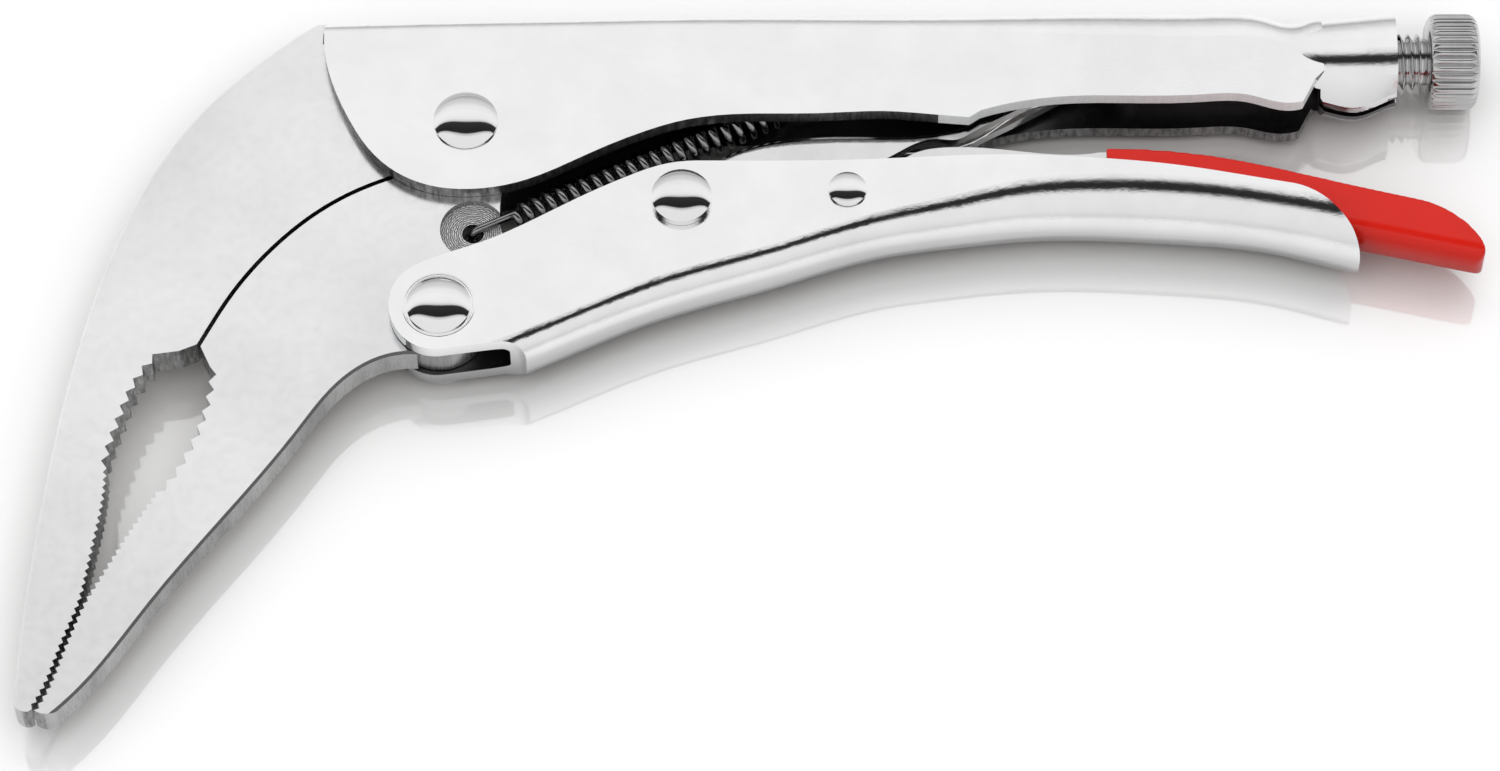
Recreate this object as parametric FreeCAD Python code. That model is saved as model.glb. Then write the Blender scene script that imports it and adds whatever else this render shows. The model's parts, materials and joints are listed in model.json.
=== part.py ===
import FreeCAD, Part
import math
import os

# Locking pliers with long, angled jaws. The tool lies flat on its side: the handles run along X with
# the jaws at -X, the upper handle is on the +Y side, and the rivets stand along Z.
# Everything is drawn about the jaw pivot at mid-thickness, and moved to the row's origin at the end.

os.makedirs("parts", exist_ok=True)
Vector = FreeCAD.Vector
UP = Vector(0, 0, 1)

# ---------------------------------------------------------------- driving dimensions, mm
JAW_PIVOT = Vector(0, 0)
HANDLE_PIVOT = Vector(-3.1, -29.1)
TOGGLE_PIVOT = Vector(29.9, -12.5)
LEVER_PIVOT = Vector(52.7, -11.0)
SPRING_HOLE = Vector(1.2, -15.9)
SPRING_FINGER = Vector(45.8, 5.6)

UPPER_SHEET = 2.2
LOWER_SHEET = 2.05
LINK_SHEET = 1.5
LEVER_SHEET = 1.3
FIXED_JAW_HALF = 2.46
MOVING_JAW_HALF = 2.4
FRONT_HALF = 4.7
REAR_HALF = 5.5

THREAD_RADIUS = 3.95
THREAD_PITCH = 1.25
THREAD_DEPTH = 0.7
SCREW_Y = 12.4
SCREW_TIP_X = 90.6
THREAD_END_X = 133.0
THREAD_TURNS = 32
THREAD_START_X = THREAD_END_X - THREAD_TURNS * THREAD_PITCH
KNOB_START_X = 133.7
KNOB_END_X = 140.9
KNOB_RADIUS = 6.7
KNURL_COUNT = 36
KNURL_DEPTH = 0.42

RUNNING_FIT = 0.05
HELD_FIT = 0.02
SPLIT_HALF_GAP = 0.3
BOSS_RADIUS = 8.6
BOSS_GAP = 0.4
CREST_HALF_GAP = 0.14
COARSE_DEPTH = 0.95
FINE_DEPTH = 0.5
JAW_BEVEL = 0.35
EAR_RADIUS = 6.2
PIVOT_SHANK = 3.0
LEVER_SHANK = 1.8
SPRING_HOLE_RADIUS = 1.5
RECESS_RADIUS = 4.5
RECESS_DEPTH = 1.3
DEEP = 40.0
LOFT_DEGREE = 3


# ---------------------------------------------------------------- drawing helpers
def points(*pairs):
    return [Vector(x, y) for x, y in pairs]


def curve(path):
    """One smooth edge through the points."""
    spline = Part.BSplineCurve()
    spline.interpolate(path)
    return spline.toShape()


def line(start, end):
    return Part.makeLine(start, end)


def broken_line(path):
    return [line(a, b) for a, b in zip(path, path[1:])]


def slab(edges, half):
    """The closed outline, as thick as 2 * half about the mid-plane."""
    face = Part.Face(Part.Wire(edges))
    face.translate(UP * -half)
    return face.extrude(UP * (2 * half))


def disc(centre, radius, half):
    return Part.makeCylinder(radius, 2 * half, Vector(centre.x, centre.y, -half), UP)


def beside(path, distance):
    """The same path moved sideways, to its left when the distance is positive."""
    moved = []
    for i, here in enumerate(path):
        ahead = path[min(i + 1, len(path) - 1)] - path[max(i - 1, 0)]
        ahead.normalize()
        moved.append(here + Vector(-ahead.y, ahead.x) * distance)
    return moved


def tooth_row(path, count, depth):
    """Teeth with their crests on the path and their roots to its left."""
    crests = curve(path).discretize(Number=count + 1)
    row = [crests[0]]
    for a, b in zip(crests, crests[1:]):
        step = (b - a).normalize()
        row.append((a + b) * 0.5 + Vector(-step.y, step.x) * depth)
        row.append(b)
    return row


def section(x, crown, half, foot_half, radius, web_up, inset):
    """A channel's outline across X: a rounded web at the crown, and two sides that run far past it."""
    side = 1 if web_up else -1
    top = crown - side * inset
    bend = max(radius - inset, 0.5)
    corner = Vector(half - inset, top)
    foot = Vector(foot_half - inset, top - side * DEEP)
    down = (foot - corner).normalize()
    inward = Vector(-1, 0)
    opening = down.getAngle(inward)
    run = bend / math.tan(opening / 2)
    middle = (down + inward).normalize()
    apex = corner + middle * (bend / math.sin(opening / 2) - bend)
    right = [foot, corner + down * run, apex, corner + inward * run]
    left = [Vector(-p.x, p.y) for p in right]
    if web_up:
        right, left = left, right
    a = [Vector(x, p.y, p.x) for p in right]
    b = [Vector(x, p.y, p.x) for p in left]
    edges = [line(a[0], a[1]), Part.Arc(a[1], a[2], a[3]).toShape(), line(a[3], b[3]),
             Part.Arc(b[3], b[2], b[1]).toShape(), line(b[1], b[0]), line(b[0], a[0])]
    return Part.Wire(edges)


def channel_block(stations, web_up, inset=0.0):
    """A solid lofted along X; each station is (x, crown, half width, half width at the foot, bend)."""
    sections = [section(*station, web_up, inset) for station in stations]
    solid, ruled, closed = True, False, False
    return Part.makeLoft(sections, solid, ruled, closed, LOFT_DEGREE)


def dome_rivet(centre, shank, head, half, height, rim=0.3):
    """A shank with a low dome on a rim at both ends; half is half the thickness that it clamps."""
    cap = height - rim
    ball = (head * head + cap * cap) / (2 * cap)
    lean = math.asin(head / ball) / 2
    shoulder = ball * math.sin(lean)
    rise = half + height - ball * (1 - math.cos(lean))
    upper = [Vector(shank, 0, half), Vector(head, 0, half), Vector(head, 0, half + rim)]
    crown = Vector(0, 0, half + height)
    edges = [line(Vector(0, 0, 0), Vector(shank, 0, 0)), line(Vector(shank, 0, 0), upper[0])]
    edges += broken_line(upper)
    edges += [Part.Arc(upper[2], Vector(shoulder, 0, rise), crown).toShape(), line(crown, Vector(0, 0, 0))]
    one_end = Part.Face(Part.Wire(edges)).revolve(Vector(0, 0, 0), UP, 360)
    other_end = one_end.mirror(Vector(0, 0, 0), UP)
    rivet = one_end.fuse(other_end).removeSplitter()
    rivet.translate(centre)
    return rivet


def turned(profile):
    """A solid of revolution about the screw's axis; the profile is (x, radius) from end to end."""
    first = Vector(profile[0][0], SCREW_Y)
    last = Vector(profile[-1][0], SCREW_Y)
    rim = [Vector(x, SCREW_Y + radius) for x, radius in profile]
    face = Part.Face(Part.Wire(broken_line([first] + rim + [last, first])))
    return face.revolve(first, Vector(1, 0, 0), 360)


def rod(start, end, radius):
    along = end - start
    return Part.makeCylinder(radius, along.Length, start, along)


# ---------------------------------------------------------------- jaws
# Both blades meet on one split line, from the pivot boss down to the throat.
SPLIT_LINE = points((-6.3, -6.0), (-9.3, -7.3), (-13.1, -8.9), (-17.2, -11.1), (-21.2, -14.0), (-25.2, -17.8),
                    (-28.5, -21.7), (-31.8, -26.6), (-34.0, -30.7), (-35.7, -34.1))
CLOSED_EDGE = points((-49.9, -73.9), (-51.0, -77.1), (-52.2, -80.8), (-53.3, -84.5), (-54.5, -87.4),
                     (-55.3, -88.9))
HEEL = Vector(-47.3, -53.0)
TOE = Vector(-40.6, -56.6)
FIXED_THROAT = points((-40.5, -35.3), (-42.1, -37.2), (-44.2, -41.0), (-45.7, -45.8), (-46.9, -50.2)) + [HEEL]
MOVING_THROAT = points((-34.0, -37.4), (-34.4, -42.0), (-35.6, -47.0), (-37.3, -51.3), (-39.3, -55.0)) + [TOE]
FIXED_NOSE = [HEEL] + points((-47.3, -56.5), (-48.1, -62.9), (-48.9, -67.9))
MOVING_NOSE = [TOE] + points((-42.5, -59.9), (-44.4, -63.2), (-46.2, -66.7), (-48.2, -70.6))
COARSE_TEETH = 9
FINE_TEETH = 32


def fixed_jaw():
    closed = beside(CLOSED_EDGE, -CREST_HALF_GAP)
    back = points((-57.9, -88.1), (-57.6, -78.6), (-56.4, -63.7), (-54.2, -46.2), (-51.1, -30.0),
                  (-46.6, -15.1), (-39.7, -1.2), (-31.7, 8.5), (-23.6, 15.5), (-21.6, 17.0))
    coarse = tooth_row(FIXED_THROAT, COARSE_TEETH, -COARSE_DEPTH)
    fine = tooth_row(FIXED_NOSE + closed, FINE_TEETH, -FINE_DEPTH)
    split = beside(SPLIT_LINE, -SPLIT_HALF_GAP)
    throat = Vector(-38.4, -35.0)
    toe = points((-55.9, -89.2), (-57.1, -89.0))
    tongue = points((-20.3, 17.0), (-20.3, 13.8), (6.0, 14.3), (6.0, 0.0), (-4.0, -4.0))
    edges = [curve(split)] + broken_line([split[-1], throat, coarse[0]]) + broken_line(coarse)
    edges += broken_line(fine)
    edges += broken_line([fine[-1], toe[0]])
    edges.append(Part.Arc(toe[0], toe[1], back[0]).toShape())
    edges.append(curve(back))
    edges += broken_line([back[-1]] + tongue + [split[0]])
    jaw = slab(edges, FIXED_JAW_HALF)
    jaw = bevelled(jaw, back)
    return jaw.cut(disc(JAW_PIVOT, BOSS_RADIUS + BOSS_GAP, DEEP))


def bevelled(jaw, path):
    """Breaks the sharp edges along one smooth side of a blade."""
    half = jaw.BoundBox.ZMax
    target = curve(path)
    chosen = []
    for edge in jaw.Edges:
        middle = edge.valueAt((edge.FirstParameter + edge.LastParameter) / 2)
        if abs(abs(middle.z) - half) > 0.01 or abs(edge.Length - target.Length) > 0.5:
            continue
        if target.distToShape(Part.Vertex(middle.x, middle.y, 0))[0] < 0.05:
            chosen.append(edge)
    return jaw.makeChamfer(JAW_BEVEL, chosen)


def moving_jaw():
    closed = beside(CLOSED_EDGE, CREST_HALF_GAP)
    front = points((-52.2, -89.0), (-49.3, -85.9), (-40.6, -73.4), (-30.5, -59.6), (-21.5, -47.0),
                   (-15.7, -39.2), (-11.5, -36.3), (-6.0, -35.3))
    neck = points((2.6, -30.0), (4.4, -24.0), (5.4, -18.0), (4.9, -13.5), (5.3, -9.0), (7.0, -4.0))
    split = beside(SPLIT_LINE, SPLIT_HALF_GAP)
    coarse = tooth_row(MOVING_THROAT, COARSE_TEETH, COARSE_DEPTH)
    fine = tooth_row(MOVING_NOSE + closed, FINE_TEETH, FINE_DEPTH)
    toe = points((-54.6, -89.3), (-53.6, -89.5))
    edges = [curve(split)] + broken_line([split[-1], coarse[0]]) + broken_line(coarse) + broken_line(fine)
    edges += broken_line([fine[-1], toe[0]])
    edges.append(Part.Arc(toe[0], toe[1], front[0]).toShape())
    edges.append(curve(front))
    edges += broken_line([front[-1], HANDLE_PIVOT, neck[0]])
    edges.append(curve(neck))
    edges += broken_line([neck[-1], JAW_PIVOT, split[0]])
    jaw = bevelled(slab(edges, MOVING_JAW_HALF), front)
    jaw = jaw.fuse(disc(JAW_PIVOT, BOSS_RADIUS, MOVING_JAW_HALF))
    jaw = jaw.fuse(disc(HANDLE_PIVOT, EAR_RADIUS, MOVING_JAW_HALF)).removeSplitter()
    for pivot in (JAW_PIVOT, HANDLE_PIVOT):
        jaw = jaw.cut(disc(pivot, PIVOT_SHANK + RUNNING_FIT, DEEP))
    jaw = jaw.cut(disc(SPRING_HOLE, SPRING_HOLE_RADIUS, DEEP))
    for face_z in (-MOVING_JAW_HALF - RECESS_DEPTH, MOVING_JAW_HALF - RECESS_DEPTH):
        centre = Vector(SPRING_HOLE.x, SPRING_HOLE.y, face_z)
        jaw = jaw.cut(Part.makeCylinder(RECESS_RADIUS, 2 * RECESS_DEPTH, centre, UP))
    return jaw


def jaw_weld(jaw, handle):
    """The bead across the front of the web, where the blade leaves the channel."""
    bead = rod(Vector(-20.2, 16.4, -2.3), Vector(-20.2, 16.4, 2.3), 0.75)
    return bead.cut(jaw).cut(handle)


# ---------------------------------------------------------------- upper handle
UPPER_STATIONS = [(-22.0, 16.5, FRONT_HALF, FRONT_HALF, 2.4), (-8.0, 16.9, FRONT_HALF, FRONT_HALF, 2.4),
                  (8.0, 17.3, FRONT_HALF, FRONT_HALF, 2.5), (24.0, 17.5, 5.1, 5.1, 2.7),
                  (40.0, 17.6, REAR_HALF, REAR_HALF, 3.0), (58.0, 17.7, 5.6, 5.4, 3.4),
                  (74.0, 18.1, 6.0, 4.7, 4.2), (86.0, 18.6, 6.4, 4.0, 5.0), (98.0, 18.8, 6.45, 4.0, 5.5),
                  (109.3, 18.75, 6.4, 4.0, 5.5), (112.6, 17.85, 6.0, 4.2, 5.2), (116.5, 17.75, 5.5, 4.4, 4.8),
                  (120.0, 17.75, 5.3, 4.4, 4.7)]
# The sheet's rear end is pressed round the screw: (x, radius, centre of the top's curve, centre of the lower
# curve, underside).
NUT_STATIONS = [(107.0, 3.9, 12.6, 11.5, 6.5), (111.0, 4.75, 12.6, 11.4, 5.6), (115.0, 5.3, 12.4, 11.3, 5.2),
                (118.5, 5.55, 12.55, 11.2, 4.6), (122.0, 5.65, 12.83, 11.2, 3.6),
                (126.0, 5.7, 13.24, 11.3, 4.3), (129.3, 5.75, 13.48, 11.4, 5.8)]
NUT_TAPER = 40.0
NUT_FOOT_HALF = 1.8
NUT_FOOT_DROP = 0.4
NUT_BLEND_X = 109.0
NUT_START_X = 117.7
NUT_SLOT = 0.9
NUT_SLOT_Z = 0.5


def upper_outline():
    """The side view of the upper handle, without its nut end."""
    front = points((-20.0, 20.0), (-20.0, 15.0), (-19.6, 9.7), (-18.2, 4.9), (-16.0, 0.0), (-13.4, -4.3),
                   (-9.6, -8.0), (-4.5, -10.3), (0.8, -10.8), (7.7, -9.6), (18.6, -4.5), (24.1, -2.1),
                   (29.6, -0.3), (35.5, 0.6), (49.0, 0.8), (58.0, 1.15), (65.0, 0.6), (69.6, 0.2))
    rear = points((71.2, 1.3), (76.0, 2.6), (82.2, 3.5), (92.0, 3.65), (101.6, 3.8), (108.5, 3.75),
                  (112.0, 2.8), (115.9, 3.0))
    notch = points((117.7, 6.6), (119.0, 8.0), (119.0, 20.0))
    edges = [curve(front[1:])] + broken_line([front[-1], rear[0]]) + [curve(rear)]
    return edges + broken_line([rear[-1]] + notch + [front[0], front[1]])


def nut_section(x, radius, high_centre, low_centre, underside):
    """An upright oval round the screw, whose lower flanks run straight in to a narrow underside."""
    foot_height = underside + NUT_FOOT_DROP

    def lower_curve(angle, side):
        turn = math.radians(angle)
        return Vector(x, low_centre - radius * math.sin(turn), side * radius * math.cos(turn))

    def flank(side):
        start, middle, end = [lower_curve(NUT_TAPER * share, side) for share in (0.0, 0.5, 1.0)]
        foot = Vector(x, foot_height, side * NUT_FOOT_HALF)
        return [line(Vector(x, high_centre, side * radius), start), Part.Arc(start, middle, end).toShape(),
                line(end, foot)]

    shoulders = [Vector(x, high_centre, z) for z in (-radius, radius)]
    feet = [Vector(x, foot_height, z) for z in (NUT_FOOT_HALF, -NUT_FOOT_HALF)]
    over_top = Part.Arc(shoulders[0], Vector(x, high_centre + radius, 0), shoulders[1]).toShape()
    underneath = Part.Arc(feet[0], Vector(x, underside, 0), feet[1]).toShape()
    return Part.Wire([over_top] + flank(1) + [underneath] + flank(-1)[::-1])


def nut_lobe():
    """The sheet's rear end, which swells out of the flat sides, with the slot where its two lips meet."""
    solid, ruled, closed = True, False, False
    sections = [nut_section(*station) for station in NUT_STATIONS]
    lobe = Part.makeLoft(sections, solid, ruled, closed, LOFT_DEGREE)
    outline = points((NUT_BLEND_X, 25.0), (NUT_BLEND_X, 5.2), (116.4, 5.2), (NUT_START_X, 6.6), (119.4, 4.2),
                     (119.4, 0.0), (135.0, 0.0), (135.0, 25.0), (NUT_BLEND_X, 25.0))
    slot = Part.makeBox(20, SCREW_Y, NUT_SLOT, Vector(NUT_START_X - 1, 0, NUT_SLOT_Z - NUT_SLOT / 2))
    return lobe.common(slab(broken_line(outline), DEEP)).cut(slot)


def upper_handle():
    sheet = channel_block(UPPER_STATIONS, True).common(slab(upper_outline(), DEEP))
    window = Part.makeBox(9.5, 8.0, 3.4, Vector(SPRING_FINGER.x + 0.9, 12.0, -1.7))
    finger = Part.makeBox(1.6, 12.4, 1.8, Vector(SPRING_FINGER.x - 0.8, 3.6, -0.9))
    handle = sheet.fuse(nut_lobe())
    cavity = channel_block(UPPER_STATIONS, True, UPPER_SHEET)
    in_front_of_nut = Part.makeBox(160, 60, 30, Vector(118.6 - 160, -30, -15))
    handle = handle.cut(cavity.common(in_front_of_nut)).cut(window).fuse(finger)
    handle = handle.cut(rod(Vector(80, SCREW_Y, 0), Vector(135, SCREW_Y, 0), THREAD_RADIUS + RUNNING_FIT))
    return handle.cut(disc(JAW_PIVOT, PIVOT_SHANK + HELD_FIT, DEEP)).removeSplitter()


# ---------------------------------------------------------------- lower handle
# The sides run parallel at the front, and spread and round off behind the lever's pivot.
LOWER_STATIONS = [(-12.0, -43.5, FRONT_HALF, FRONT_HALF, 2.8), (2.0, -38.6, FRONT_HALF, FRONT_HALF, 2.9),
                  (9.7, -35.5, FRONT_HALF, FRONT_HALF, 3.1), (18.7, -31.3, FRONT_HALF, FRONT_HALF, 3.2),
                  (32.7, -25.8, FRONT_HALF, FRONT_HALF, 3.3), (46.7, -21.3, FRONT_HALF, FRONT_HALF, 3.3),
                  (57.3, -18.1, 4.8, 4.8, 3.7), (67.0, -16.5, 5.3, 5.3, 4.3), (74.0, -15.6, 5.9, 5.9, 5.0),
                  (81.0, -15.2, 6.25, 6.25, 5.6), (90.0, -15.35, 6.5, 6.5, 6.0), (102.0, -16.1, 6.5, 6.5, 6.0),
                  (115.0, -18.2, 6.5, 6.5, 6.0), (128.0, -21.2, 6.5, 6.5, 6.0)]


def lower_outline():
    """The side view of the lower handle; its web starts behind the nose."""
    nose = points((-3.1, -35.95), (-7.9, -33.95), (-9.9, -29.1), (-8.6, -24.7), (-4.6, -21.9), (2.3, -19.3),
                  (11.8, -14.4), (18.7, -10.6), (22.2, -8.9), (25.7, -7.4), (29.2, -6.5), (34.0, -6.3),
                  (53.7, -6.15), (66.8, -5.85), (80.6, -6.35), (94.3, -7.6), (108.0, -9.7), (114.0, -10.9))
    rear = points((114.0, -10.9), (117.4, -12.6), (119.8, -14.9), (121.8, -17.6), (123.0, -20.4),
                  (123.3, -24.0))
    gap = points((5.6, -34.7), (8.6, -35.6), (9.8, -39.0))
    web_end = [rear[-1], Vector(124, -45), Vector(9.8, -45), gap[-1]]
    edges = [curve(nose), curve(rear)] + broken_line(web_end)
    return edges + [curve(list(reversed(gap))), line(gap[0], nose[0])]


def lower_handle():
    block = channel_block(LOWER_STATIONS, False)
    cavity = channel_block(LOWER_STATIONS, False, LOWER_SHEET)
    handle = block.cut(cavity).common(slab(lower_outline(), DEEP))
    handle = handle.cut(disc(HANDLE_PIVOT, PIVOT_SHANK + HELD_FIT, DEEP))
    handle = handle.cut(disc(TOGGLE_PIVOT, PIVOT_SHANK + HELD_FIT, DEEP))
    return handle.cut(disc(LEVER_PIVOT, LEVER_SHANK + HELD_FIT, DEEP))


# ---------------------------------------------------------------- toggle link
LINK_HALF = 2.35
LINK_STATIONS = [(22.0, -9.6, 2.0), (28.0, -8.0, 2.0), (33.0, -5.2, 2.0), (39.0, -2.0, 2.0), (46.0, -0.5, 2.0),
                 (55.0, -0.2, 2.0), (63.0, -0.1, 1.8), (68.0, 0.7, 1.4), (73.0, 3.4, 1.0), (80.0, 7.5, 0.8),
                 (89.0, 12.8, 0.8)]


def link_block(inset):
    stations = [(x, crown, LINK_HALF, LINK_HALF, bend) for x, crown, bend in LINK_STATIONS]
    return channel_block(stations, True, inset)


def toggle_link():
    ear = 4.7
    belly = points((29.9, -17.2), (36.0, -14.0), (41.0, -9.8), (47.0, -7.3), (54.0, -6.3), (58.5, -4.4),
                   (62.0, -2.3), (65.3, -1.45), (67.6, -1.6), (70.4, -0.2), (76.0, 3.0), (84.0, 7.7),
                   (87.2, 9.5))
    tip = points((87.2, 9.5), (87.6, 11.0), (86.2, 11.7))
    edges = [curve(belly), Part.Arc(*tip).toShape()] + broken_line([tip[-1], Vector(80, 20), Vector(18, 20)])
    edges += broken_line([Vector(18, 20), Vector(18, -12.5), TOGGLE_PIVOT, belly[0]])
    body = link_block(0.0).common(slab(edges, DEEP).fuse(disc(TOGGLE_PIVOT, ear, DEEP)))
    front = Part.makeBox(30, 60, 30, Vector(-0.1, -40, -15)).cut(disc(TOGGLE_PIVOT, ear, DEEP))
    body = body.cut(front)
    link = body.cut(link_block(LINK_SHEET))
    return link.cut(disc(TOGGLE_PIVOT, PIVOT_SHANK + RUNNING_FIT, DEEP))


# ---------------------------------------------------------------- release lever
COAT = 0.5
COAT_HALF = 3.3
COAT_START_X = 88.5
LEVER_STATIONS = [(45.0, -16.3, 2.85), (57.0, -15.3, 2.85), (67.0, -13.8, 3.0), (80.0, -12.9, COAT_HALF),
                  (90.0, -12.8, COAT_HALF), (102.0, -13.45, COAT_HALF), (115.0, -15.55, COAT_HALF),
                  (122.0, -16.95, COAT_HALF), (129.0, -18.5, COAT_HALF), (135.0, -19.9, COAT_HALF),
                  (142.0, -21.4, COAT_HALF)]


def lever_block(inset):
    stations = [(x, web, half, half, 2.6) for x, web, half in LEVER_STATIONS]
    return channel_block(stations, False, inset)


def lever_outline(inset):
    """The side view of the coated lever, with its steel this far inside the coat's surface."""
    nose = points((60.3, -4.9), (63.0, -3.4), (66.5, -2.9), (74.0, -3.1 - inset / 2), (87.6, -3.4 - inset))
    tail = points((88.5, -3.4), (96.0, -3.6), (104.0, -4.7), (115.2, -7.3), (128.8, -10.8), (134.2, -12.5),
                  (137.6, -15.0), (139.9, -18.2), (140.2, -19.6), (138.6, -20.9), (135.5, -22.0))
    tail = beside(tail, -inset)
    end = [tail[-1], Vector(tail[-1].x, -30), Vector(50, -30), LEVER_PIVOT, nose[0]]
    return [curve(nose), line(nose[-1], tail[0]), curve(tail)] + broken_line(end)


def lever_solid(inset):
    ear = 3.6
    profile = slab(lever_outline(inset), DEEP).fuse(disc(LEVER_PIVOT, ear, DEEP))
    front = Part.makeBox(60, 60, 30, Vector(LEVER_PIVOT.x - 60, -40, -15))
    front = front.cut(disc(LEVER_PIVOT, ear, DEEP))
    return lever_block(inset).common(profile).cut(front)


def release_lever():
    lever = lever_solid(COAT).cut(lever_block(COAT + LEVER_SHEET))
    return lever.cut(disc(LEVER_PIVOT, LEVER_SHANK + RUNNING_FIT, DEEP))


def lever_grip():
    """The dipped coat on the lever's tail; it covers the steel inside and out, and closes the tip."""
    tail = Part.makeBox(80, 60, 30, Vector(COAT_START_X, -40, -15))
    hollow_end_x = 135.5
    hollow = Part.makeBox(hollow_end_x - COAT_START_X, 60, 30, Vector(COAT_START_X, -40, -15))
    hollow = lever_block(2 * COAT + LEVER_SHEET).common(hollow)
    return lever_solid(0.0).common(tail).cut(lever_solid(COAT).cut(lever_block(COAT + LEVER_SHEET))).cut(hollow)


# ---------------------------------------------------------------- adjusting screw
def screw_point():
    """The smooth end of the screw, which the toggle link bears on."""
    root = THREAD_RADIUS - THREAD_DEPTH
    return turned([(SCREW_TIP_X, 1.4), (SCREW_TIP_X + 0.3, 2.2), (SCREW_TIP_X + 1.2, root),
                   (THREAD_START_X, root)])


def adjusting_screw():
    root = THREAD_RADIUS - THREAD_DEPTH
    profile = []
    for i in range(THREAD_TURNS):
        x = THREAD_START_X + i * THREAD_PITCH
        profile.append((x, root))
        profile.append((x + 0.45 * THREAD_PITCH, THREAD_RADIUS))
        profile.append((x + 0.6 * THREAD_PITCH, THREAD_RADIUS))
    profile.append((THREAD_END_X, root))
    profile.append((KNOB_START_X, root))
    return turned(profile)


def screw_knob():
    profile = [(KNOB_START_X, 5.2), (KNOB_START_X + 1.3, KNOB_RADIUS), (KNOB_END_X - 1.0, KNOB_RADIUS),
               (KNOB_END_X - 0.3, KNOB_RADIUS - 0.45), (KNOB_END_X, KNOB_RADIUS - 1.2)]
    blank = turned(profile)
    rim = []
    half_step = math.pi / KNURL_COUNT
    for i in range(2 * KNURL_COUNT):
        radius = KNOB_RADIUS if i % 2 else KNOB_RADIUS - KNURL_DEPTH
        spread = 0.45 * half_step if i % 2 else 0.2 * half_step
        for angle in (i * half_step - spread, i * half_step + spread):
            rim.append(Vector(KNOB_START_X, SCREW_Y + radius * math.cos(angle), radius * math.sin(angle)))
    star = Part.Face(Part.Wire(broken_line(rim + [rim[0]]))).extrude(Vector(KNOB_END_X - KNOB_START_X, 0, 0))
    return blank.common(star)


# ---------------------------------------------------------------- return spring
WIRE_RADIUS = 0.55
COIL_RADIUS = 2.35
HOOK_RADIUS = 1.75
LOOP_RADIUS = 2.3


def return_spring():
    """The coil's envelope with a hook through the jaw and a loop round the handle's finger."""
    along = (SPRING_FINGER - SPRING_HOLE).normalize()
    bend = SPRING_HOLE + along * 1.55
    loop = SPRING_FINGER - along * 0.5
    coil_start = bend + along * 4.8
    coil_end = loop - along * (LOOP_RADIUS - 0.2)
    coil = rod(coil_start, coil_end, COIL_RADIUS).cut(rod(coil_start, coil_end, COIL_RADIUS - 2 * WIRE_RADIUS))
    across = along.cross(UP)
    hook = Part.makeTorus(HOOK_RADIUS, WIRE_RADIUS, bend, across)
    behind = Part.makeBox(10, 10, 10, Vector(-10, -5, -5))
    behind.rotate(Vector(0, 0, 0), UP, math.degrees(math.atan2(along.y, along.x)))
    behind.translate(bend)
    hook = hook.common(behind)
    upper_leg = rod(bend + UP * HOOK_RADIUS, coil_start + along * 0.3 + UP * HOOK_RADIUS, WIRE_RADIUS)
    lower_leg = rod(bend - UP * HOOK_RADIUS, bend + along * 2.4 - UP * HOOK_RADIUS, WIRE_RADIUS)
    ring = Part.makeTorus(LOOP_RADIUS, WIRE_RADIUS, loop, across)
    return coil.fuse([hook, upper_leg, lower_leg, ring]).removeSplitter()


# ---------------------------------------------------------------- the assembly
def build():
    upper = upper_handle()
    fixed = fixed_jaw()
    return {
        "upper_handle": upper,
        "fixed_jaw": fixed,
        "jaw_weld": jaw_weld(fixed, upper),
        "moving_jaw": moving_jaw(),
        "jaw_rivet": dome_rivet(JAW_PIVOT, PIVOT_SHANK, 4.45, FRONT_HALF + 0.04, 1.9),
        "lower_handle": lower_handle(),
        "handle_rivet": dome_rivet(HANDLE_PIVOT, PIVOT_SHANK, 4.4, FRONT_HALF + 0.04, 1.9),
        "toggle_link": toggle_link(),
        "toggle_rivet": dome_rivet(TOGGLE_PIVOT, PIVOT_SHANK, 4.15, FRONT_HALF + 0.04, 2.6, 1.1),
        "release_lever": release_lever(),
        "lever_grip": lever_grip(),
        "lever_rivet": dome_rivet(LEVER_PIVOT, LEVER_SHANK, 2.65, FRONT_HALF + 0.1, 1.1),
        "screw_point": screw_point(),
        "adjusting_screw": adjusting_screw(),
        "screw_knob": screw_knob(),
        "return_spring": return_spring(),
    }


def placed(parts):
    """Moves the tool so that the middle of its underside box is the origin."""
    box = FreeCAD.BoundBox()
    for shape in parts.values():
        box.add(shape.optimalBoundingBox(False))
    shift = Vector(-box.Center.x, -box.Center.y, -box.ZMin)
    for shape in parts.values():
        shape.translate(shift)
    return shift


PARTS = build()
for name, shape in PARTS.items():
    print(name, shape.isValid(), len(shape.Solids), round(shape.Volume, 1))
SHIFT = placed(PARTS)
print("jaw pivot at", SHIFT)
for name, shape in PARTS.items():
    shape.exportStep("parts/" + name + ".step")
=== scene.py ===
import json
import math

import bmesh
import bpy
import numpy as np
from mathutils import Matrix, Vector

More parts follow.
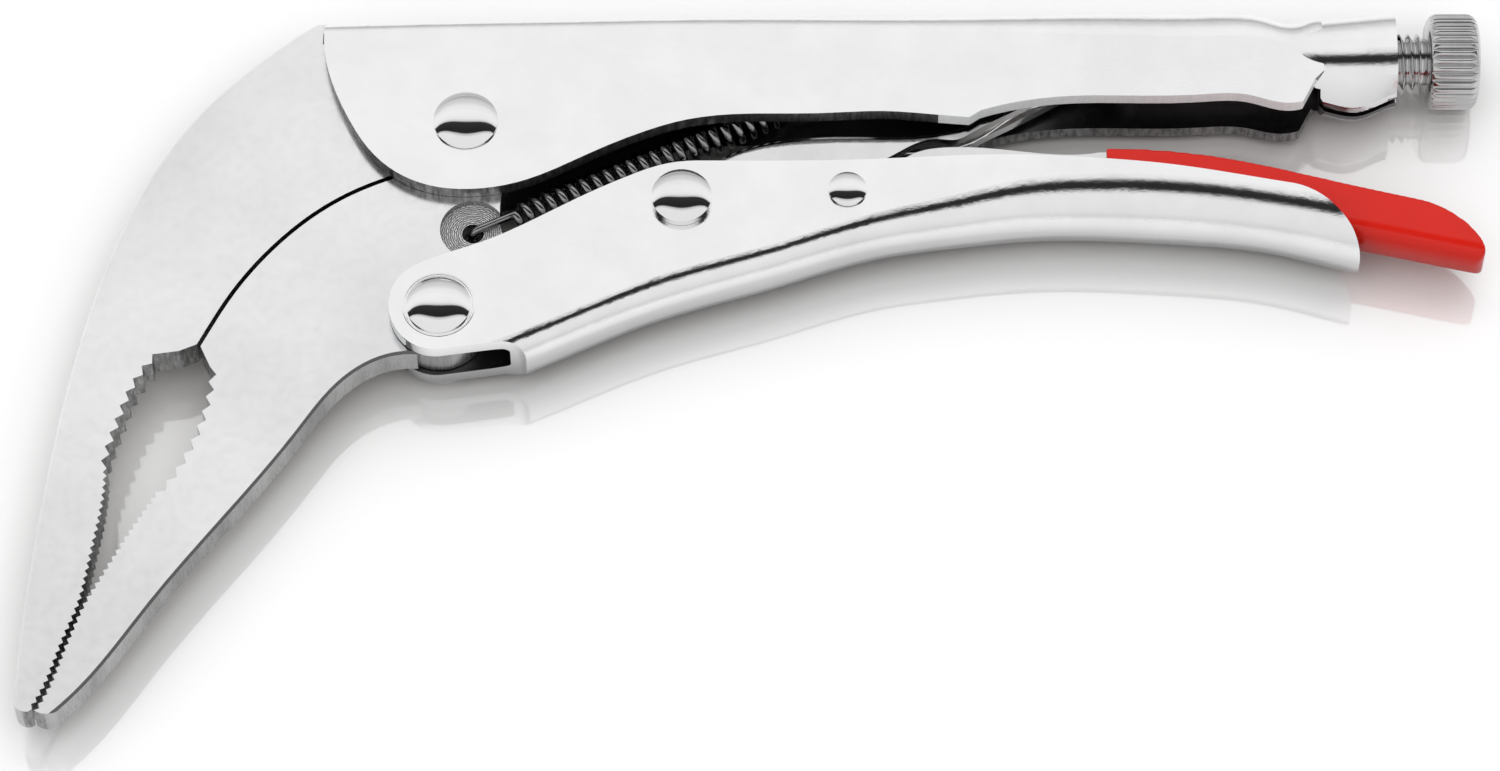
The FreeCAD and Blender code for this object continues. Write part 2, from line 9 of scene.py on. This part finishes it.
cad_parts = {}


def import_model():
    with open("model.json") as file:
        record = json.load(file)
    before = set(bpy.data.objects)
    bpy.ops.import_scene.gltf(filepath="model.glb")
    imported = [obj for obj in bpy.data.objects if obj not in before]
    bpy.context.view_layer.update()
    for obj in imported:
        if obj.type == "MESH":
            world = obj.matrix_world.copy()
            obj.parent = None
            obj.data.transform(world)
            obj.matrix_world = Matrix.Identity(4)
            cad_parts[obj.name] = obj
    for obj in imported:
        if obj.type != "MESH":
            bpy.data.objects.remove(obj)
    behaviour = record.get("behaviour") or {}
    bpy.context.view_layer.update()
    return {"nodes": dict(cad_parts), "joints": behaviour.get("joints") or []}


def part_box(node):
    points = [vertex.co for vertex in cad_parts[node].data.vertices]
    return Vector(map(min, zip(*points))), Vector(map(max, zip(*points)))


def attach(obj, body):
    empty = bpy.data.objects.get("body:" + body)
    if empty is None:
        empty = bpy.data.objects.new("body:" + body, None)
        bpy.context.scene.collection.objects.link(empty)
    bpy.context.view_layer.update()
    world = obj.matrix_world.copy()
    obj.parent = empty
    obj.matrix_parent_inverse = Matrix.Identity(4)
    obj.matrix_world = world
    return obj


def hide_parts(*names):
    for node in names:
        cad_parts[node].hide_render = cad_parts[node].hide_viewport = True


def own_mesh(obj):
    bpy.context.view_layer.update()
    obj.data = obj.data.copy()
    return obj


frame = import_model()
NODES = frame["nodes"]

MM = 0.001

# ---------------------------------------------------------------- places taken from the frame
JOINTS = {joint["name"]: joint for joint in frame["joints"]}
JAW_PIVOT = Vector(JOINTS["jaw_open"]["pos_m"])
SCREW_AXIS = Vector(JOINTS["screw_turn"]["pos_m"])

# Sizes in mm, with places from the jaw pivot.
SCREW_Y = (SCREW_AXIS.y - JAW_PIVOT.y) / MM
THREAD_START_X = (SCREW_AXIS.x - JAW_PIVOT.x) / MM
THREAD_PITCH = 1.25
THREAD_TURNS = 32
THREAD_RADIUS = 3.95
THREAD_DEPTH = 0.85
THREAD_CORE = 3.25
KNOB_START_X = (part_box("screw_knob")[0][0] - JAW_PIVOT.x) / MM
KNOB_END_X = (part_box("screw_knob")[1][0] - JAW_PIVOT.x) / MM
KNOB_RADIUS = 6.7
KNOB_BEND = 1.65
KNURL_COUNT = 36
KNURL_DEPTH = 0.55
HANDLE_PIVOT = (-3.1, -29.1)
FRONT_HALF = 4.7
FRONT_INSIDE = 2.45
SPRING_HOLE = (1.2, -15.9)
SPRING_FINGER = (45.8, 5.6)
WIRE_RADIUS = 0.55
COIL_RADIUS = 1.8
COIL_TURNS = 23
COIL_START = 6.35
HOOK_RADIUS = 1.75
HOOK_MIDDLE = 1.55
LOOP_RADIUS = 2.3
LOOP_BACK = 0.5
COAT_START_X = 88.5
COAT_OVERLAP = 0.4
COAT_VOXEL = 0.28
WELD_DISTANCE = 0.0001
SEAT_RING = ((4.62, -0.02), (4.68, 0.05), (4.8, 0.07), (4.95, 0.05), (5.02, -0.02))
RECESS_FLOOR_BELOW = 2.0
UPPER_WEB_Y = 12.0
LOWER_WEB_Y = -12.5
LOWER_WEB_X = (40.0, 113.0)
# Where along x the top plate's sheared edges get the painted highlight; elsewhere they get painted shade.
UPPER_PAINTED_HIGHLIGHT_X = (66.0, 118.0)
LOWER_PAINTED_HIGHLIGHT_X = (-20.0, 114.0)
# The mouth between the blades: its middle line, and how far its teeth reach from it.
MOUTH_Y = (-89.0, -75.0, -60.0, -50.0, -33.5)
MOUTH_X = (-55.3, -50.2, -45.4, -42.2, -37.4)
MOUTH_REACH = (1.5, 2.0, 4.2, 5.4, 5.4)


def placed(x, y, z=0.0):
    """A point given in millimetres from the jaw pivot, at mid-thickness."""
    return JAW_PIVOT + Vector((x, y, z)) * MM


# ---------------------------------------------------------------- node helpers
def new_material(name):
    material = bpy.data.materials.new(name)
    material.use_nodes = True
    tree = material.node_tree
    tree.nodes.clear()
    output = tree.nodes.new("ShaderNodeOutputMaterial")
    shader = tree.nodes.new("ShaderNodeBsdfPrincipled")
    tree.links.new(shader.outputs[0], output.inputs[0])
    return material, tree, shader


def coordinates(tree, scale):
    source = tree.nodes.new("ShaderNodeTexCoord")
    mapping = tree.nodes.new("ShaderNodeMapping")
    mapping.inputs["Scale"].default_value = scale
    tree.links.new(source.outputs["Object"], mapping.inputs["Vector"])
    return mapping.outputs["Vector"]


def noise(tree, vector, scale, detail=3.0, roughness=0.55):
    node = tree.nodes.new("ShaderNodeTexNoise")
    node.inputs["Scale"].default_value = scale
    node.inputs["Detail"].default_value = detail
    node.inputs["Roughness"].default_value = roughness
    tree.links.new(vector, node.inputs["Vector"])
    return node.outputs["Fac"]


def spread(tree, value, low, high, from_low=0.3, from_high=0.7):
    node = tree.nodes.new("ShaderNodeMapRange")
    node.inputs["From Min"].default_value = from_low
    node.inputs["From Max"].default_value = from_high
    node.inputs["To Min"].default_value = low
    node.inputs["To Max"].default_value = high
    tree.links.new(value, node.inputs["Value"])
    return node.outputs["Result"]


def mixed_colour(tree, value, first, second):
    node = tree.nodes.new("ShaderNodeMix")
    node.data_type = "RGBA"
    node.inputs["A"].default_value = (*first, 1)
    node.inputs["B"].default_value = (*second, 1)
    tree.links.new(value, node.inputs["Factor"])
    return node.outputs["Result"]


def bump(tree, shader, height, distance, strength=1.0, under=None):
    node = tree.nodes.new("ShaderNodeBump")
    node.inputs["Distance"].default_value = distance
    node.inputs["Strength"].default_value = strength
    tree.links.new(height, node.inputs["Height"])
    if under is not None:
        tree.links.new(under, node.inputs["Normal"])
    tree.links.new(node.outputs["Normal"], shader.inputs["Normal"])
    return node.outputs["Normal"]


UNIFORM = (1000.0, 1000.0, 1000.0)
# Heights in mm over which painted shade fades from its share up to the full colour.
SHADE_HEIGHTS = (3.0, 11.5)


# ---------------------------------------------------------------- materials
def painted_shade_below(tree, vector, colour, share):
    """Painted shade: the colour, times share near the floor and rising to the full colour under the top faces.
    """
    split = tree.nodes.new("ShaderNodeSeparateXYZ")
    tree.links.new(vector, split.inputs[0])
    shade = tree.nodes.new("ShaderNodeVectorMath")
    shade.operation = "SCALE"
    tree.links.new(colour, shade.inputs[0])
    tree.links.new(spread(tree, split.outputs["Z"], share, 1.0, *SHADE_HEIGHTS), shade.inputs["Scale"])
    return shade.outputs[0]


def plated_metal(name, light, dark, roughness, grain=0.6, depth=0.004, cloud_scale=0.12, painted_shade_share=1.0):
    """Nickel plate over pressed steel: near-white, with a faint orange peel, and its colour darkened towards
    the floor as painted shade by the share given.
    """
    material, tree, shader = new_material(name)
    vector = coordinates(tree, UNIFORM)
    cloud = spread(tree, noise(tree, vector, cloud_scale, 4.0), 0.0, 1.0, 0.35, 0.65)
    shader.inputs["Metallic"].default_value = 1.0
    colour = painted_shade_below(tree, vector, mixed_colour(tree, cloud, dark, light), painted_shade_share)
    tree.links.new(colour, shader.inputs["Base Color"])
    smear = noise(tree, vector, 0.7, 5.0)
    tree.links.new(spread(tree, smear, roughness * 0.75, roughness * 1.35), shader.inputs["Roughness"])
    peel = noise(tree, vector, grain, 4.0, 0.65)
    bump(tree, shader, peel, depth * MM)
    return material


def plain_metal(name, colour, roughness, depth=0.004, grain=3.0):
    material, tree, shader = new_material(name)
    vector = coordinates(tree, UNIFORM)
    shader.inputs["Metallic"].default_value = 1.0
    darker = tuple(c * 0.75 for c in colour)
    tree.links.new(mixed_colour(tree, noise(tree, vector, 0.5), darker, colour), shader.inputs["Base Color"])
    tree.links.new(spread(tree, noise(tree, vector, 2.0), roughness * 0.8, roughness * 1.25),
                   shader.inputs["Roughness"])
    bump(tree, shader, noise(tree, vector, grain), depth * MM)
    return material


def cut_metal(name, light, dark, roughness, depth, metallic=1.0):
    """A sheared edge: short streaks along the sheet's thickness, with bright burrs."""
    material, tree, shader = new_material(name)
    streaks = coordinates(tree, (3000.0, 3000.0, 700.0))
    coarse = noise(tree, streaks, 0.5, 5.0, 0.7)
    shader.inputs["Metallic"].default_value = metallic
    tree.links.new(mixed_colour(tree, spread(tree, coarse, 0.0, 1.0, 0.35, 0.65), dark, light),
                   shader.inputs["Base Color"])
    tree.links.new(spread(tree, coarse, roughness * 1.3, roughness * 0.7), shader.inputs["Roughness"])
    bump(tree, shader, noise(tree, streaks, 0.9, 6.0, 0.7), depth * MM)
    return material


def ground_side(name, light, dark, roughness):
    """A ground side face: fine marks along the thickness over slow changes of tone along the edge."""
    material, tree, shader = new_material(name)
    slow = noise(tree, coordinates(tree, (1000.0, 1000.0, 100.0)), 0.12, 2.0)
    fine = noise(tree, coordinates(tree, (1000.0, 1000.0, 120.0)), 2.5, 4.0, 0.7)
    both = tree.nodes.new("ShaderNodeMath")
    both.operation = "ADD"
    tree.links.new(spread(tree, slow, 0.0, 0.7, 0.35, 0.65), both.inputs[0])
    tree.links.new(spread(tree, fine, 0.0, 0.3), both.inputs[1])
    shader.inputs["Metallic"].default_value = 1.0
    tree.links.new(mixed_colour(tree, both.outputs[0], dark, light), shader.inputs["Base Color"])
    tree.links.new(spread(tree, fine, roughness * 0.8, roughness * 1.3), shader.inputs["Roughness"])
    bump(tree, shader, fine, 0.01 * MM)
    return material


def milled_metal():
    """The floor of the counterbore round the spring's hole, with the cutter's circular marks."""
    material, tree, shader = new_material("milled_floor")
    vector = coordinates(tree, UNIFORM)
    hole = placed(*SPRING_HOLE) / MM
    centred = tree.nodes.new("ShaderNodeVectorMath")
    centred.operation = "SUBTRACT"
    centred.inputs[1].default_value = hole
    tree.links.new(vector, centred.inputs[0])
    rings = tree.nodes.new("ShaderNodeTexWave")
    rings.wave_type = "RINGS"
    rings.rings_direction = "Z"
    rings.inputs["Scale"].default_value = 1.1
    rings.inputs["Distortion"].default_value = 5.0
    rings.inputs["Detail"].default_value = 4.0
    rings.inputs["Detail Scale"].default_value = 2.5
    tree.links.new(centred.outputs[0], rings.inputs["Vector"])
    shader.inputs["Metallic"].default_value = 0.6
    tree.links.new(mixed_colour(tree, rings.outputs["Fac"], (0.14, 0.14, 0.14), (0.95, 0.95, 0.95)),
                   shader.inputs["Base Color"])
    tree.links.new(spread(tree, noise(tree, vector, 3.0), 0.28, 0.5), shader.inputs["Roughness"])
    bump(tree, shader, rings.outputs["Fac"], 0.08 * MM)
    return material


def red_dip():
    material, tree, shader = new_material("red_dip")
    vector = coordinates(tree, UNIFORM)
    cloud = noise(tree, vector, 0.15, 3.0)
    colour = mixed_colour(tree, cloud, (0.58, 0.010, 0.004), (0.66, 0.015, 0.007))
    # Painted shade: the red falls to half its colour towards the floor.
    tree.links.new(painted_shade_below(tree, vector, colour, 0.5), shader.inputs["Base Color"])
    tree.links.new(spread(tree, noise(tree, vector, 0.9), 0.12, 0.2), shader.inputs["Roughness"])
    shader.inputs["Specular IOR Level"].default_value = 0.3
    bump(tree, shader, noise(tree, vector, 0.35, 2.0), 0.02 * MM)
    return material


def floor_material():
    material, tree, shader = new_material("white_floor")
    # Painted contact shadow: the floor's colour turns grey where the tool is within 22 mm.
    near = tree.nodes.new("ShaderNodeAmbientOcclusion")
    near.inputs["Distance"].default_value = 22.0 * MM
    tree.links.new(mixed_colour(tree, spread(tree, near.outputs["AO"], 0.0, 1.0, 0.0, 0.9),
                                (0.52, 0.505, 0.49), (0.94, 0.94, 0.94)), shader.inputs["Base Color"])
    shader.inputs["Roughness"].default_value = 0.06
    shader.inputs["IOR"].default_value = 2.6
    return material


# The plated sheet's colour falls to 0.42 of itself near the floor: painted shade.
SHEET = plated_metal("plated_sheet", (0.95, 0.95, 0.96), (0.90, 0.90, 0.91), 0.06, 3.6, 0.02, 0.12, 0.42)
# The channels' inside faces are painted near-black: painted shade.
INSIDE = plain_metal("painted_shade_inside", (0.16, 0.16, 0.165), 0.35, 0.03, 1.5)
# Lit and shaded copies of one sheared edge: the near-white, nearly non-metal copy is a painted highlight,
# standing for the bright floor mirrored in the top plate's edges; the dark copy is painted shade.
EDGE = cut_metal("sheared_edge", (0.97, 0.98, 0.98), (0.86, 0.88, 0.88), 0.4, 0.004, 0.1)
PAINTED_SHADE_EDGE = cut_metal("painted_shade_sheared_edge", (0.34, 0.34, 0.34), (0.10, 0.10, 0.10), 0.35, 0.02)
JAW = plated_metal("satin_jaw", (0.90, 0.90, 0.91), (0.79, 0.79, 0.80), 0.2, 1.4, 0.003, 0.03)
JAW_SIDE = ground_side("ground_side", (0.62, 0.62, 0.62), (0.28, 0.28, 0.28), 0.28)
# The jaws' broken edges facing −y are painted dark: painted shade; those facing +y keep the flat face's
# finish.
PAINTED_SHADE_BEVEL = plain_metal("painted_shade_bevel", (0.16, 0.16, 0.16), 0.3)
TOOTH = cut_metal("sheared_teeth", (0.42, 0.42, 0.42), (0.16, 0.16, 0.16), 0.3, 0.02)
MILLED = milled_metal()
RIVET = plated_metal("rivet_plate", (0.93, 0.93, 0.93), (0.88, 0.88, 0.88), 0.05, 0.8, 0.002)
LINK = plated_metal("link_plate", (0.80, 0.80, 0.80), (0.72, 0.72, 0.72), 0.18)
SCREW = plated_metal("screw_plate", (0.64, 0.64, 0.64), (0.48, 0.48, 0.48), 0.14, 1.5, 0.004)
SPRING = plain_metal("spring_wire", (0.36, 0.36, 0.365), 0.1)
RED = red_dip()


def finish_with(node, *materials):
    slots = NODES[node].data.materials
    slots.clear()
    for material in materials:
        slots.append(material)


def sort_faces(node, choose):
    """Gives each face the slot number that choose(centre, normal) returns, in mm from the jaw pivot."""
    mesh = NODES[node].data
    for face in mesh.polygons:
        centre = (face.center - JAW_PIVOT) / MM
        face.material_index = choose(centre, face.normal)


def sheet_face(centre, normal, web_up, painted_highlight_x):
    """Outside 0, inside 1 (painted shade), sheared edge with a painted highlight 2 or sheared edge with
    painted shade 3, for a channel open below or above.
    """
    if normal.z * math.copysign(1.0, centre.z) < -0.25:
        return 1
    if abs(normal.z) > 0.25:
        return 0
    towards_opening = -normal.y if web_up else normal.y
    end_face = abs(normal.x) > 0.7
    if towards_opening < 0.2 and not end_face:
        return 0
    if web_up:
        under_web = centre.y > UPPER_WEB_Y
    else:
        under_web = centre.y < LOWER_WEB_Y and LOWER_WEB_X[0] < centre.x < LOWER_WEB_X[1]
    if (abs(centre.z) < FRONT_INSIDE or under_web) and not end_face:
        return 1
    # Top-plate edges in the given x range get the painted highlight; all other sheared edges get painted
    # shade.
    return 2 if centre.z > 0 and painted_highlight_x[0] < centre.x < painted_highlight_x[1] else 3


def jaw_face(centre, normal):
    """Flat face 0, ground side 1, broken edge facing −y painted dark as shade 2, tooth 3 or the counterbore's
    floor 4.
    """
    if abs(normal.z) > 0.9:
        return 4 if abs(centre.z) < RECESS_FLOOR_BELOW else 0
    if abs(normal.z) > 0.3:
        return 2 if normal.y < 0 else 0
    from_middle = abs(centre.x - np.interp(centre.y, MOUTH_Y, MOUTH_X))
    return 3 if centre.y < MOUTH_Y[-1] and from_middle < np.interp(centre.y, MOUTH_Y, MOUTH_REACH) else 1


# ---------------------------------------------------------------- built pieces
def piece(name, vertices, faces, material, body, slot, replaced=()):
    """A smooth-shaded mesh that rides on a body; vertices are in metres."""
    mesh = bpy.data.meshes.new(name)
    mesh.from_pydata([tuple(v) for v in vertices], [], faces)
    mesh.validate()
    mesh.shade_smooth()
    mesh.materials.append(material)
    item = bpy.data.objects.new(name, mesh)
    bpy.context.scene.collection.objects.link(item)
    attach(item, body)
    if replaced:
        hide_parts(*replaced)
    return item


def tube(path, radius, sides):
    """Vertices and faces of a round wire swept along the path."""
    vertices, faces = [], []
    across = None
    for i, here in enumerate(path):
        ahead = (path[min(i + 1, len(path) - 1)] - path[max(i - 1, 0)]).normalized()
        if across is None:
            across = ahead.orthogonal().normalized()
        across = (across - ahead * across.dot(ahead)).normalized()
        third = ahead.cross(across)
        for k in range(sides):
            angle = 2 * math.pi * k / sides
            vertices.append(here + (across * math.cos(angle) + third * math.sin(angle)) * radius)
    for i in range(len(path) - 1):
        for k in range(sides):
            a, b = i * sides + k, i * sides + (k + 1) % sides
            faces.append((a, b, b + sides, a + sides))
    faces.append(tuple(reversed(range(sides))))
    faces.append(tuple(range((len(path) - 1) * sides, len(path) * sides)))
    return vertices, faces


def lathe(stations, sides, radius_at):
    """Rings round the screw's axis; radius_at(x, angle) is in mm from the jaw pivot."""
    vertices, faces = [], []
    for x in stations:
        for k in range(sides):
            angle = 2 * math.pi * k / sides
            radius = radius_at(x, angle)
            vertices.append(placed(x, SCREW_Y + radius * math.cos(angle), radius * math.sin(angle)))
    for i in range(len(stations) - 1):
        for k in range(sides):
            a, b = i * sides + k, i * sides + (k + 1) % sides
            faces.append((a, b, b + sides, a + sides))
    faces.append(tuple(reversed(range(sides))))
    faces.append(tuple(range((len(stations) - 1) * sides, len(stations) * sides)))
    return vertices, faces


def steps(start, end, count):
    return [start + (end - start) * i / count for i in range(count + 1)]


def return_spring():
    """A close-wound coil, with an open hook through the jaw's hole and a loop round the finger."""
    hole, finger = placed(*SPRING_HOLE), placed(*SPRING_FINGER)
    along = (finger - hole).normalized()
    side = along.cross(Vector((0, 0, 1)))
    up = Vector((0, 0, 1))
    reach = (finger - hole).length / MM

    def at(s, across, high):
        return hole + (along * s + side * across + up * high) * MM

    path = [at(s, 0, -HOOK_RADIUS) for s in steps(HOOK_MIDDLE + 2.2, HOOK_MIDDLE + 0.3, 4)]
    for angle in steps(-90, -270, 16):
        turn = math.radians(angle)
        path.append(at(HOOK_MIDDLE + HOOK_RADIUS * math.cos(turn), 0, HOOK_RADIUS * math.sin(turn)))
    path += [at(s, 0, HOOK_RADIUS) for s in steps(HOOK_MIDDLE + 0.4, COIL_START - 0.3, 5)]
    coil_end = reach - LOOP_BACK - LOOP_RADIUS + 0.2
    per_turn = 22
    for i in range(COIL_TURNS * per_turn + 1):
        turn = 2 * math.pi * i / per_turn
        s = COIL_START + (coil_end - COIL_START) * i / (COIL_TURNS * per_turn)
        path.append(at(s, COIL_RADIUS * math.sin(turn), COIL_RADIUS * math.cos(turn)))
    for angle in steps(128, -165, 30):
        turn = math.radians(angle)
        middle = reach - LOOP_BACK
        path.append(at(middle + LOOP_RADIUS * math.cos(turn), 0, LOOP_RADIUS * math.sin(turn)))
    item = piece("wound_spring", *tube(path, WIRE_RADIUS * MM, 10), SPRING, "root", "spring_steel",
                 ("return_spring",))
    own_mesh(item)


def screw_thread():
    end = THREAD_START_X + THREAD_TURNS * THREAD_PITCH

    def radius_at(x, angle):
        if x > end - 0.3 or x < THREAD_START_X + 0.2:
            return THREAD_CORE
        place = ((x - THREAD_START_X) / THREAD_PITCH - angle / (2 * math.pi)) % 1.0
        slope = (abs(2 * place - 1) - 0.12) / 0.72
        return THREAD_RADIUS - THREAD_DEPTH * min(max(slope, 0.0), 1.0)

    stations = steps(THREAD_START_X, end, THREAD_TURNS * 12) + [KNOB_START_X + 0.2]
    piece("cut_thread", *lathe(stations, 40, radius_at), SCREW, "screw", "screw_steel", ("adjusting_screw",))


def knurled_knob():
    """Straight rounded ridges, cut off by the round shoulders so that their ends are lens-shaped."""
    def shoulder(inset, bend):
        return bend - math.sqrt(max(bend * bend - (bend - min(inset, bend)) ** 2, 0.0))

    def radius_at(x, angle):
        plain = KNOB_RADIUS - shoulder(x - KNOB_START_X, KNOB_BEND) - shoulder(KNOB_END_X - x, KNOB_BEND)
        ridge = abs(math.cos(KNURL_COUNT * angle / 2)) ** 0.7
        return min(plain, KNOB_RADIUS - KNURL_DEPTH * (1 - ridge))

    near, far = KNOB_START_X + 0.02, KNOB_END_X - 0.02
    stations = steps(near, near + KNOB_BEND, 12) + steps(near + KNOB_BEND, far - KNOB_BEND, 6)[1:]
    stations += steps(far - KNOB_BEND, far, 12)[1:]
    piece("knurled_head", *lathe(stations, KNURL_COUNT * 10, radius_at), SCREW, "screw", "screw_steel",
          ("screw_knob",))


def welded(node):
    """The node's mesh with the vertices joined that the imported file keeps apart."""
    shape = bmesh.new()
    shape.from_mesh(NODES[node].data)
    bmesh.ops.remove_doubles(shape, verts=shape.verts, dist=WELD_DISTANCE * MM)
    return shape


def grip_coat():
    """The dipped coat: the lever's tail and its coat as one body, melted together and rounded off."""
    tail = welded("release_lever")
    cut = placed(COAT_START_X + COAT_OVERLAP, 0)
    geometry = tail.verts[:] + tail.edges[:] + tail.faces[:]
    sliced = bmesh.ops.bisect_plane(tail, geom=geometry, plane_co=cut, plane_no=(1, 0, 0), clear_inner=True)
    rim = [e for e in sliced["geom_cut"] if isinstance(e, bmesh.types.BMEdge)]
    bmesh.ops.holes_fill(tail, edges=rim)
    tail_mesh = bpy.data.meshes.new("tail")
    tail.to_mesh(tail_mesh)
    tail.free()
    coat_mesh = bpy.data.meshes.new("grip_coat")
    welded("lever_grip").to_mesh(coat_mesh)
    steel = bpy.data.objects.new("tail", tail_mesh)
    coat = bpy.data.objects.new("grip_coat", coat_mesh)
    for item in (steel, coat):
        bpy.context.scene.collection.objects.link(item)
    union = coat.modifiers.new("union", "BOOLEAN")
    union.operation = "UNION"
    union.solver = "EXACT"
    union.object = steel
    melt = coat.modifiers.new("melt", "REMESH")
    melt.mode = "VOXEL"
    melt.voxel_size = COAT_VOXEL * MM
    soften = coat.modifiers.new("soften", "SMOOTH")
    soften.factor = 0.5
    soften.iterations = 14
    shape = bpy.data.meshes.new_from_object(coat.evaluated_get(bpy.context.evaluated_depsgraph_get()))
    coat.modifiers.clear()
    bpy.data.objects.remove(steel)
    coat.data = shape
    shape.materials.clear()
    shape.materials.append(RED)
    shape.shade_smooth()
    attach(coat, "release_lever")
    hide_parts("lever_grip")


def seat_ring():
    """The faint raised ring that the rivet's tool leaves on the plate round the front rivet."""
    sides = 96
    for name, side in (("seat_ring_top", 1), ("seat_ring_bottom", -1)):
        vertices, faces = [], []
        for k in range(sides):
            angle = 2 * math.pi * k / sides
            for radius, rise in SEAT_RING:
                vertices.append(placed(HANDLE_PIVOT[0] + radius * math.cos(angle),
                                       HANDLE_PIVOT[1] + radius * math.sin(angle), side * (FRONT_HALF + rise)))
        count = len(SEAT_RING)
        for k in range(sides):
            for i in range(count - 1):
                a, b = k * count + i, ((k + 1) % sides) * count + i
                faces.append((a, b, b + 1, a + 1) if side > 0 else (a + 1, b + 1, b, a))
        piece(name, vertices, faces, SHEET, "lower_handle", "plated_sheet")


# ---------------------------------------------------------------- studio
CAMERA_LENS = 152.5
CAMERA_ANGLE = math.radians(61.6)
CAMERA_DISTANCE = 0.864
CAMERA_TARGET = (39.3, -39.0)


def camera():
    data = bpy.data.cameras.new("camera")
    data.lens = CAMERA_LENS
    data.sensor_width = 36.0
    data.clip_start = 0.01
    data.clip_end = 20.0
    item = bpy.data.objects.new("camera", data)
    bpy.context.scene.collection.objects.link(item)
    away = Vector((0, -math.cos(CAMERA_ANGLE), math.sin(CAMERA_ANGLE)))
    item.location = placed(*CAMERA_TARGET) + away * CAMERA_DISTANCE
    item.rotation_euler = (-away).to_track_quat("-Z", "Y").to_euler()
    bpy.context.scene.camera = item


FLOOR_SIZE = 6.0
LAMP_SIZE = 1.6
LAMP_HEIGHT = 1.3
LAMP_WATTS = 13.0


def floor():
    bpy.ops.mesh.primitive_plane_add(size=FLOOR_SIZE, location=(0, 0, 0))
    item = bpy.context.object
    item.name = "floor"
    item.data.materials.append(floor_material())


# The room's brightness by angle from straight up towards the camera's side, in degrees.
STUDIO_GREYS = ((-90, 0.42), (-72, 0.68), (-52, 0.9), (-38, 0.94), (-28, 0.92), (-20, 0.88), (-14, 0.7),
                (-9, 0.03), (15, 0.02), (19, 0.6), (25, 0.84), (50, 0.83), (75, 0.8), (90, 0.72))
BRIGHTEST = 1.3
GAP_CURVE = 0.42


def world():
    """A white room with one dark gap in the ceiling, which draws the crisp lines along the bends.

    GAP_CURVE bends the gap, so that its image on a dome curves with the dome's rim.
    """
    scene_world = bpy.data.worlds.new("studio")
    bpy.context.scene.world = scene_world
    scene_world.use_nodes = True
    tree = scene_world.node_tree
    tree.nodes.clear()
    output = tree.nodes.new("ShaderNodeOutputWorld")
    background = tree.nodes.new("ShaderNodeBackground")
    tree.links.new(background.outputs[0], output.inputs[0])
    source = tree.nodes.new("ShaderNodeTexCoord")
    split = tree.nodes.new("ShaderNodeSeparateXYZ")
    tree.links.new(source.outputs["Generated"], split.inputs[0])
    lean = tree.nodes.new("ShaderNodeMath")
    lean.operation = "ARCTAN2"
    flipped = tree.nodes.new("ShaderNodeMath")
    flipped.operation = "MULTIPLY"
    flipped.inputs[1].default_value = -1.0
    tree.links.new(split.outputs["Y"], flipped.inputs[0])
    tree.links.new(flipped.outputs[0], lean.inputs[0])
    tree.links.new(split.outputs["Z"], lean.inputs[1])
    sideways = tree.nodes.new("ShaderNodeMath")
    sideways.operation = "MULTIPLY"
    tree.links.new(split.outputs["X"], sideways.inputs[0])
    tree.links.new(split.outputs["X"], sideways.inputs[1])
    curved = tree.nodes.new("ShaderNodeMath")
    curved.operation = "MULTIPLY_ADD"
    curved.inputs[1].default_value = GAP_CURVE
    tree.links.new(sideways.outputs[0], curved.inputs[0])
    tree.links.new(lean.outputs[0], curved.inputs[2])
    ramp = tree.nodes.new("ShaderNodeValToRGB")
    ramp.color_ramp.interpolation = "EASE"
    tree.links.new(spread(tree, curved.outputs[0], 0.0, 1.0, -math.pi / 2, math.pi / 2), ramp.inputs["Fac"])
    elements = ramp.color_ramp.elements
    while len(elements) < len(STUDIO_GREYS):
        elements.new(0.5)
    for element, (angle, level) in zip(elements, STUDIO_GREYS):
        element.position = (angle + 90) / 180
        grey = level / BRIGHTEST
        element.color = (grey, grey, grey, 1)
    tree.links.new(ramp.outputs["Color"], background.inputs["Color"])
    background.inputs["Strength"].default_value = BRIGHTEST


def overhead_lamp():
    """A wide soft lamp over the floor; it isn't mirrored in the metal."""
    data = bpy.data.lights.new("overhead", "AREA")
    data.shape = "SQUARE"
    data.size = LAMP_SIZE
    data.energy = LAMP_WATTS
    item = bpy.data.objects.new("overhead", data)
    item.location = (0, 0, LAMP_HEIGHT)
    item.visible_glossy = False
    bpy.context.scene.collection.objects.link(item)


camera()
floor()
world()
overhead_lamp()
bpy.context.scene.view_settings.view_transform = "Standard"

for cad_node in ("upper_handle", "lower_handle"):
    finish_with(cad_node, SHEET, INSIDE, EDGE, PAINTED_SHADE_EDGE)
sort_faces("upper_handle", lambda centre, normal: sheet_face(centre, normal, True, UPPER_PAINTED_HIGHLIGHT_X))
sort_faces("lower_handle", lambda centre, normal: sheet_face(centre, normal, False, LOWER_PAINTED_HIGHLIGHT_X))
for cad_node in ("fixed_jaw", "moving_jaw"):
    finish_with(cad_node, JAW, JAW_SIDE, PAINTED_SHADE_BEVEL, TOOTH, MILLED)
    sort_faces(cad_node, jaw_face)
finish_with("jaw_weld", JAW)
for cad_node in ("jaw_rivet", "handle_rivet", "toggle_rivet", "lever_rivet"):
    finish_with(cad_node, RIVET)
for cad_node in ("toggle_link", "release_lever"):
    finish_with(cad_node, LINK)
finish_with("screw_point", SCREW)
return_spring()
screw_thread()
knurled_knob()
grip_coat()
seat_ring()
